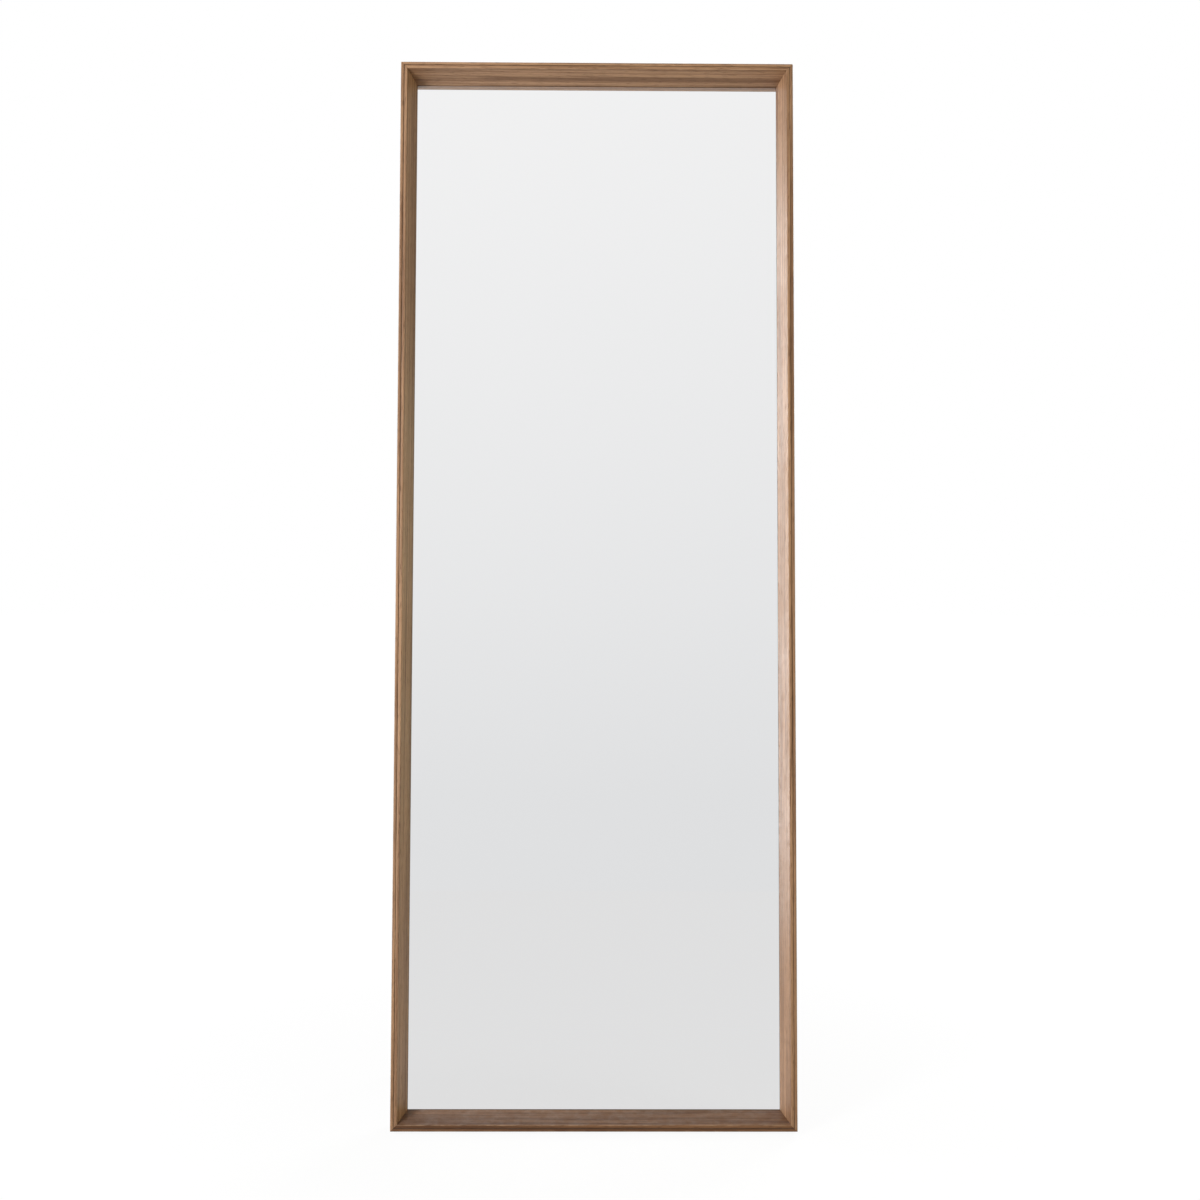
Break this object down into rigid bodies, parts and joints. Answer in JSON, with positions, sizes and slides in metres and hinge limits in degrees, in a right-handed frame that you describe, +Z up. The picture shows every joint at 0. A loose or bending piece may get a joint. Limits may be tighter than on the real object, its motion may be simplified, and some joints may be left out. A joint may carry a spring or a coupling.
{
  "type": "floor mirror",
  "caption": "Free-standing full-length floor mirror: deep mitred wooden box frame with walls sloping in to a recessed glass, on a folding tube stand behind it.",
  "frame": {"origin": "centre of the footprint on the floor, with the stand open: midway between the frame's sides, and between the frame's front lower edge and the back of the stand's foot sleeves", "axes": "+Z up, -Y out of the glass towards the viewer, +Y towards the stand, +X to the right of someone looking into the mirror; the panel leans back 6 degrees from +Z"},
  "size_m": [0.597, 0.2879, 1.5987],
  "materials": {
    "frame_wood": "light walnut-brown stain, straight open grain, satin lacquer",
    "spline_plywood": "bare birch plywood",
    "silvered_glass": "4 mm float glass, silvered behind, polished",
    "foam_tape": "off-white closed-cell foam",
    "backing_fibreboard": "bare brown hardboard",
    "board_screw_steel": "zinc-plated countersunk",
    "zinc_steel": "zinc-plated, satin",
    "black_steel": "black powder coat, fine texture",
    "plug_plastic": "moulded black",
    "sleeve_rubber": "matt extruded",
    "pad_rubber": "matt, fine ribbed"
  },
  "bodies": {
    "panel": {"left_stile": "frame_wood", "top_rail": "frame_wood", "right_stile": "frame_wood", "bottom_rail": "frame_wood", "mitre_spline_bottom_left": "spline_plywood", "mitre_spline_bottom_right": "spline_plywood", "mitre_spline_top_left": "spline_plywood", "mitre_spline_top_right": "spline_plywood", "mirror_glass": "silvered_glass", "mounting_tape_1": "foam_tape", "mounting_tape_2": "foam_tape", "mounting_tape_3": "foam_tape", "mounting_tape_4": "foam_tape", "backing_board": "backing_fibreboard", "board_screw_01": "board_screw_steel", "board_screw_02": "board_screw_steel", "board_screw_03": "board_screw_steel", "board_screw_04": "board_screw_steel", "board_screw_05": "board_screw_steel", "board_screw_06": "board_screw_steel", "board_screw_07": "board_screw_steel", "board_screw_08": "board_screw_steel", "board_screw_09": "board_screw_steel", "board_screw_10": "board_screw_steel", "board_screw_11": "board_screw_steel", "board_screw_12": "board_screw_steel", "board_screw_13": "board_screw_steel", "board_screw_14": "board_screw_steel", "board_screw_15": "board_screw_steel", "board_screw_16": "board_screw_steel", "board_screw_17": "board_screw_steel", "board_screw_18": "board_screw_steel", "hanger_screw_left_1": "zinc_steel", "hanger_screw_left_2": "zinc_steel", "hanger_screw_right_1": "zinc_steel", "hanger_screw_right_2": "zinc_steel", "hanger_strap_left": "zinc_steel", "hanger_strap_right": "zinc_steel", "bracket_screw_left_1": "zinc_steel", "bracket_screw_left_2": "zinc_steel", "bracket_screw_right_1": "zinc_steel", "bracket_screw_right_2": "zinc_steel", "pivot_pin_left": "zinc_steel", "pivot_pin_right": "zinc_steel", "stand_bracket_left": "black_steel", "stand_bracket_right": "black_steel", "floor_pad_left": "pad_rubber", "floor_pad_right": "pad_rubber"},
    "stand": {"stand_tube": "black_steel", "tube_plug_left": "plug_plastic", "tube_plug_right": "plug_plastic", "foot_sleeve_left": "sleeve_rubber", "foot_sleeve_right": "sleeve_rubber"},
    "ring_left": {"hanger_ring_left": "zinc_steel"},
    "ring_right": {"hanger_ring_right": "zinc_steel"}
  },
  "joints": [
    {"name": "stand_fold", "type": "hinge", "parent": "panel", "child": "stand", "pos_m": [0, 0.03267, 1.07901], "axis": [1, 0, 0], "range_deg": [-11.5, 0]},
    {"name": "ring_left_swing", "type": "hinge", "parent": "panel", "child": "ring_left", "pos_m": [-0.2885, 0.05402, 1.36233], "axis": [1, 0, 0], "range_deg": [-6, 174]},
    {"name": "ring_right_swing", "type": "hinge", "parent": "panel", "child": "ring_right", "pos_m": [0.2885, 0.05402, 1.36233], "axis": [1, 0, 0], "range_deg": [-6, 174]}
  ]
}
